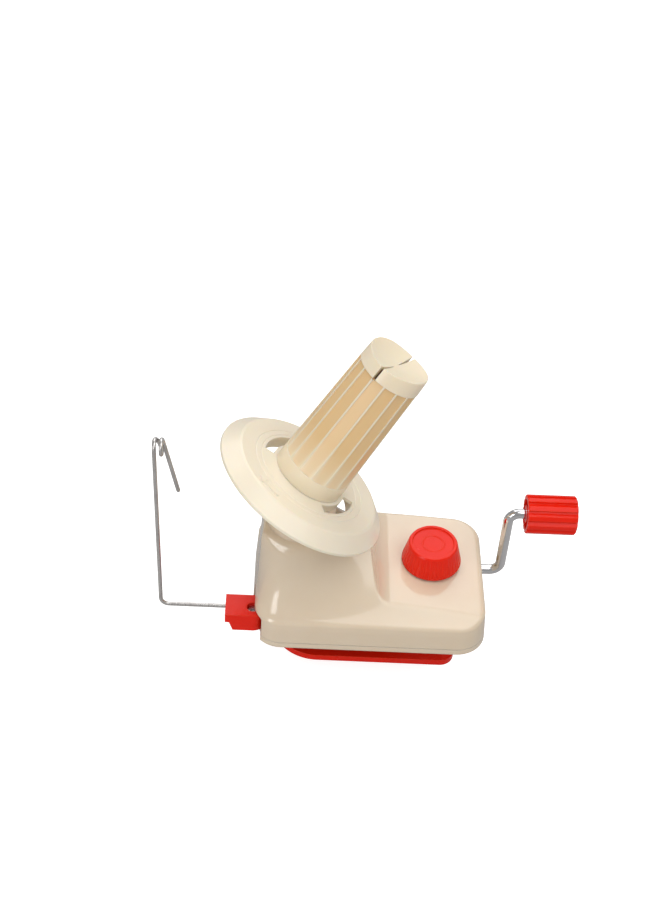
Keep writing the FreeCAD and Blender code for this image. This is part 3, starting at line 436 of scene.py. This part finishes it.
def deck_height(x):
    level = DECK_Z + (DECK_X - x) * DECK_TILT
    run = np.maximum(DECK_WALL_X - x, 0.0)
    bend = DECK_WALL_R * DECK_WALL_SLOPE / math.hypot(1, DECK_WALL_SLOPE)
    rise = DECK_WALL_R - np.sqrt(DECK_WALL_R ** 2 - np.minimum(run, bend) ** 2)
    return level + rise + np.maximum(run - bend, 0.0) * DECK_WALL_SLOPE


def top_height(x, y):
    """The lower of hump and deck, with the ridge between them rounded."""
    hump, deck = hump_height(x, y), deck_height(x)
    mix = np.maximum(RIDGE_SOFT - np.abs(hump - deck), 0.0) / RIDGE_SOFT
    return np.minimum(hump, deck) - mix * mix * RIDGE_SOFT / 4


def side_row(z, inset=0.0):
    """A row on the leaning side wall, at heights z."""
    share = (np.minimum(z, BAND_Z) / BAND_Z)[:, None]
    plan = outline(inset) * (1 - share) + outline(DRAFT + inset) * share
    return row_at(plan, z)


def row_at(plan, z):
    return np.column_stack([plan, np.broadcast_to(z, len(plan))])


def on_top(plan):
    return top_height(plan[:, 0], plan[:, 1])


def wall_drop(plan):
    """How far straight down the inner face lies, for an even wall under a sloping top."""
    x, y, e = plan[:, 0], plan[:, 1], SLOPE_PROBE
    slope_x = (top_height(x + e, y) - top_height(x - e, y)) / (2 * e)
    slope_y = (top_height(x, y + e) - top_height(x, y - e)) / (2 * e)
    return WALL * np.minimum(np.sqrt(1 + slope_x ** 2 + slope_y ** 2), STEEPEST)


def cover_rows():
    """Rows of points that walk up the outside, over the top, and back down inside."""
    band = outline(DRAFT)
    angle = np.arctan2(band[:, 1], band[:, 0])
    circle = np.stack([np.cos(angle), np.sin(angle)], axis=1)

    side_top = on_top(band) - EDGE_R
    rows = [side_row(RIM_Z + (side_top - RIM_Z) * t) for t in SIDE_STEPS]
    for step in range(EDGE_STEPS + 1):
        a = math.pi / 2 * step / EDGE_STEPS
        plan = outline(DRAFT + EDGE_R * (1 - math.cos(a)))
        rows.append(row_at(plan, on_top(plan) - EDGE_R * (1 - math.sin(a))))

    edge = rows[-1][:, :2]
    for step in range(1, TOP_STEPS + 1):
        plan = edge + (circle * NECK_R - edge) * (step / TOP_STEPS)
        rows.append(row_at(plan, on_top(plan)))

    root = rows[-1][:, 2]
    for t in NECK_STEPS:
        rows.append(row_at(circle * NECK_R, root + (NECK_TOP_Z - NECK_ROUND_GAP - root) * t))
    for step in range(1, NECK_ROUND_STEPS + 1):
        a = math.pi / 2 * step / NECK_ROUND_STEPS
        rows.append(row_at(circle * (NECK_R - NECK_ROUND * (1 - math.cos(a))),
                           NECK_TOP_Z - NECK_ROUND * (1 - math.sin(a))))
    for radius, drop in ((BEARING_R, 0.0), (SHAFT_HOLE_R, 0.0), (SHAFT_HOLE_R, BEARING_TALL),
                         (BEARING_R, BEARING_TALL), (BEARING_R, NECK_ROOF),
                         (NECK_BORE_R, NECK_ROOF)):
        rows.append(row_at(circle * radius, NECK_TOP_Z - drop))

    inner_edge = outline(DRAFT + WALL)
    for step in range(INSIDE_STEPS + 1):
        t = step / INSIDE_STEPS
        plan = circle * NECK_BORE_R * (1 - t) + inner_edge * t
        rows.append(row_at(plan, on_top(plan) - wall_drop(plan)))
    last = rows[-1][:, 2]
    rows += [side_row(last + (RIM_Z - last) * t, WALL) for t in INSIDE_WALL_STEPS]
    return rows


# ------------------------------------------------------------------ meshes

def add_object(name, data):
    made = bpy.data.objects.new(name, data)
    bpy.context.scene.collection.objects.link(made)
    return made


def mesh_from_rows(name, rows):
    """Closed quad mesh from equal rows of points: each row is a loop, and the last one joins
    the first.
    """
    count = len(rows[0])
    faces = []
    for j in range(len(rows)):
        a, b = j * count, ((j + 1) % len(rows)) * count
        for i in range(count):
            k = (i + 1) % count
            faces.append((a + i, a + k, b + k, b + i))
    mesh = bpy.data.meshes.new(name)
    mesh.from_pydata((np.concatenate(rows) * MM).tolist(), [], faces)
    mesh.validate()
    bm = bmesh.new()
    bm.from_mesh(mesh)
    bmesh.ops.recalc_face_normals(bm, faces=bm.faces)
    bm.to_mesh(mesh)
    bm.free()
    return add_object(name, mesh)


def cutter_object(bm):
    mesh = bpy.data.meshes.new("cutter")
    bm.to_mesh(mesh)
    bm.free()
    return add_object("cutter", mesh)


def cutter_box(low, high, round_r):
    """A box with rounded edges, between two corners in millimetres."""
    bm = bmesh.new()
    bmesh.ops.create_cube(bm, size=1.0)
    size, mid = (high - low) * MM, (high + low) * MM / 2
    for v in bm.verts:
        v.co = Vector([c * s + m for c, s, m in zip(v.co, size, mid)])
    bmesh.ops.bevel(bm, geom=bm.edges[:], offset=round_r * MM, segments=4, affect="EDGES",
                    profile=0.5)
    return cutter_object(bm)


def cutter_rod(start, end, radius):
    """A round rod between two points in millimetres."""
    axis = (end - start) * MM
    bm = bmesh.new()
    bmesh.ops.create_cone(bm, cap_ends=True, segments=64, radius1=radius * MM,
                          radius2=radius * MM, depth=axis.length)
    turn = Vector((0, 0, 1)).rotation_difference(axis).to_matrix()
    for v in bm.verts:
        v.co = turn @ v.co + (start + end) * MM / 2
    return cutter_object(bm)


def subtract(piece, cutter):
    modifier = piece.modifiers.new("cut", "BOOLEAN")
    modifier.operation = "DIFFERENCE"
    modifier.solver = "EXACT"
    modifier.object = cutter
    graph = bpy.context.evaluated_depsgraph_get()
    mesh = bpy.data.meshes.new_from_object(piece.evaluated_get(graph))
    piece.modifiers.clear()
    piece.data = mesh
    bpy.data.objects.remove(cutter)


def middle(node):
    """Middle of a CAD node's box, in millimetres."""
    low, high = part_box(node)
    return (low + high) / (2 * MM)


def build_cover():
    """The housing's shell, in place of the CAD's top_cover, with its notch and two holes."""
    cover = mesh_from_rows("cover_shell", cover_rows())
    screw, rod = middle("clamp_screw"), middle("crank_bush")
    notch = cutter_box(Vector((X0, Y0, 0)) - NOTCH_PAST,
                       Vector((NOTCH_X1, NOTCH_Y1, NOTCH_TOP_Z)), NOTCH_ROUND)
    screw_hole = cutter_rod(Vector((screw.x, screw.y, SCREW_HOLE_Z0)),
                            Vector((screw.x, screw.y, SCREW_HOLE_Z1)), SCREW_HOLE_R)
    bush_hole = cutter_rod(Vector((X1 - BUSH_HOLE_PAST, rod.y, rod.z)),
                           Vector((X1 + BUSH_HOLE_PAST, rod.y, rod.z)), BUSH_HOLE_R)
    for cutter in (notch, screw_hole, bush_hole):
        subtract(cover, cutter)
    cover.data.materials.clear()
    cover.data.materials.append(IVORY)
    for face in cover.data.polygons:
        face.use_smooth = True
    cover.data.set_sharp_from_angle(angle=math.radians(SMOOTH_ANGLE))
    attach(cover, "housing")
    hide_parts("top_cover")


# ------------------------------------------------------------------ stage, light and camera

FLOOR_HALF, FLOOR_DROP = 3.0, 0.0005    # metres: half its width, and the gap under the object
FLOOR_GLOW = 0.80                       # lifts the floor to paper white for the camera only
FLOOR_IN_MIRRORS = (0.40, 0.40, 0.40, 1)
SKY_FILL, SKY_MIRROR = 0.52, 0.35       # the studio's even fill, and its brightness in reflections
BACKDROP = 1.05                         # the studio as the camera sees it
LIGHT_AIM = (0.03, 0.0, 0.08)
LIGHTS = (                              # name, place, width, height, watts
    ("key_softbox", (0.38, -0.24, 0.94), 0.9, 0.9, 4.2),
    ("back_softbox", (0.0, 0.66, 0.78), 0.75, 0.75, 3.1),
    ("left_window", (-0.58, -0.66, 0.42), 0.28, 0.6, 2.2))
CAMERA_AZIMUTH, CAMERA_ELEVATION, CAMERA_DISTANCE = math.radians(3.1), math.radians(45.14), 0.889
CAMERA_AIM = Vector((-0.0439, 0.0042, 0.0694))
LENS, SENSOR = 60.0, 36.0               # millimetres
SHIFT_X, SHIFT_Y = 0.1133, 0.0556


def build_stage():
    """A white paper floor just under the object, duller in reflections."""
    s, z = FLOOR_HALF, cad_bounds[0][2] - FLOOR_DROP
    mesh = bpy.data.meshes.new("floor")
    mesh.from_pydata([(-s, -s, z), (s, -s, z), (s, s, z), (-s, s, z)], [], [(0, 1, 2, 3)])
    g = Graph("pale_floor")
    path = g.add("ShaderNodeLightPath")
    paper = g.mix(g.noise(3.0), (0.60, 0.60, 0.60, 1), (0.64, 0.64, 0.635, 1))
    color = g.mix(path.outputs["Is Glossy Ray"], paper, FLOOR_IN_MIRRORS)
    g.feed(g.bsdf.inputs["Base Color"], color)
    g.bsdf.inputs["Roughness"].default_value = 0.9
    g.bsdf.inputs["Emission Color"].default_value = (1, 1, 1, 1)
    glow = g.math("MULTIPLY", path.outputs["Is Camera Ray"], FLOOR_GLOW)
    g.feed(g.bsdf.inputs["Emission Strength"], glow)
    mesh.materials.append(g.material)
    add_object("floor", mesh)


def area_light(name, place, width, height, watts):
    light = bpy.data.lights.new(name, "AREA")
    light.energy = watts
    light.shape = "RECTANGLE"
    light.size = width
    light.size_y = height
    lamp = add_object(name, light)
    lamp.location = place
    lamp.rotation_euler = (Vector(LIGHT_AIM) - Vector(place)).to_track_quat("-Z", "Y").to_euler()


def build_light():
    """An even studio sky with its own strength for reflections and for the camera, and lamps."""
    world = bpy.data.worlds.new("studio")
    bpy.context.scene.world = world
    world.use_nodes = True
    tree = world.node_tree
    sky = tree.nodes["Background"]
    sky.inputs["Color"].default_value = (1.0, 0.985, 0.96, 1)
    path = tree.nodes.new("ShaderNodeLightPath")
    strength = tree.nodes.new("ShaderNodeMapRange")
    strength.inputs["To Min"].default_value = SKY_FILL
    strength.inputs["To Max"].default_value = SKY_MIRROR
    tree.links.new(path.outputs["Is Glossy Ray"], strength.inputs["Value"])
    backdrop = tree.nodes.new("ShaderNodeMapRange")
    backdrop.inputs["To Max"].default_value = BACKDROP
    tree.links.new(path.outputs["Is Camera Ray"], backdrop.inputs["Value"])
    tree.links.new(strength.outputs["Result"], backdrop.inputs["To Min"])
    tree.links.new(backdrop.outputs["Result"], sky.inputs["Strength"])
    for lamp in LIGHTS:
        area_light(*lamp)
    bpy.context.scene.view_settings.view_transform = "Standard"
    bpy.context.scene.view_settings.exposure = 0.0


def build_camera():
    """The camera stands in front of the winder, to the left of its middle, and looks down."""
    flat = math.cos(CAMERA_ELEVATION)
    heading = Vector((-math.sin(CAMERA_AZIMUTH) * flat, math.cos(CAMERA_AZIMUTH) * flat,
                      -math.sin(CAMERA_ELEVATION)))
    data = bpy.data.cameras.new("camera")
    data.lens = LENS
    data.sensor_width = SENSOR
    data.shift_x, data.shift_y = SHIFT_X, SHIFT_Y
    camera = add_object("camera", data)
    camera.location = CAMERA_AIM - heading * CAMERA_DISTANCE
    camera.rotation_euler = heading.to_track_quat("-Z", "Y").to_euler()
    bpy.context.scene.camera = camera


dress_cad_nodes()
build_cover()
build_stage()
build_light()
build_camera()
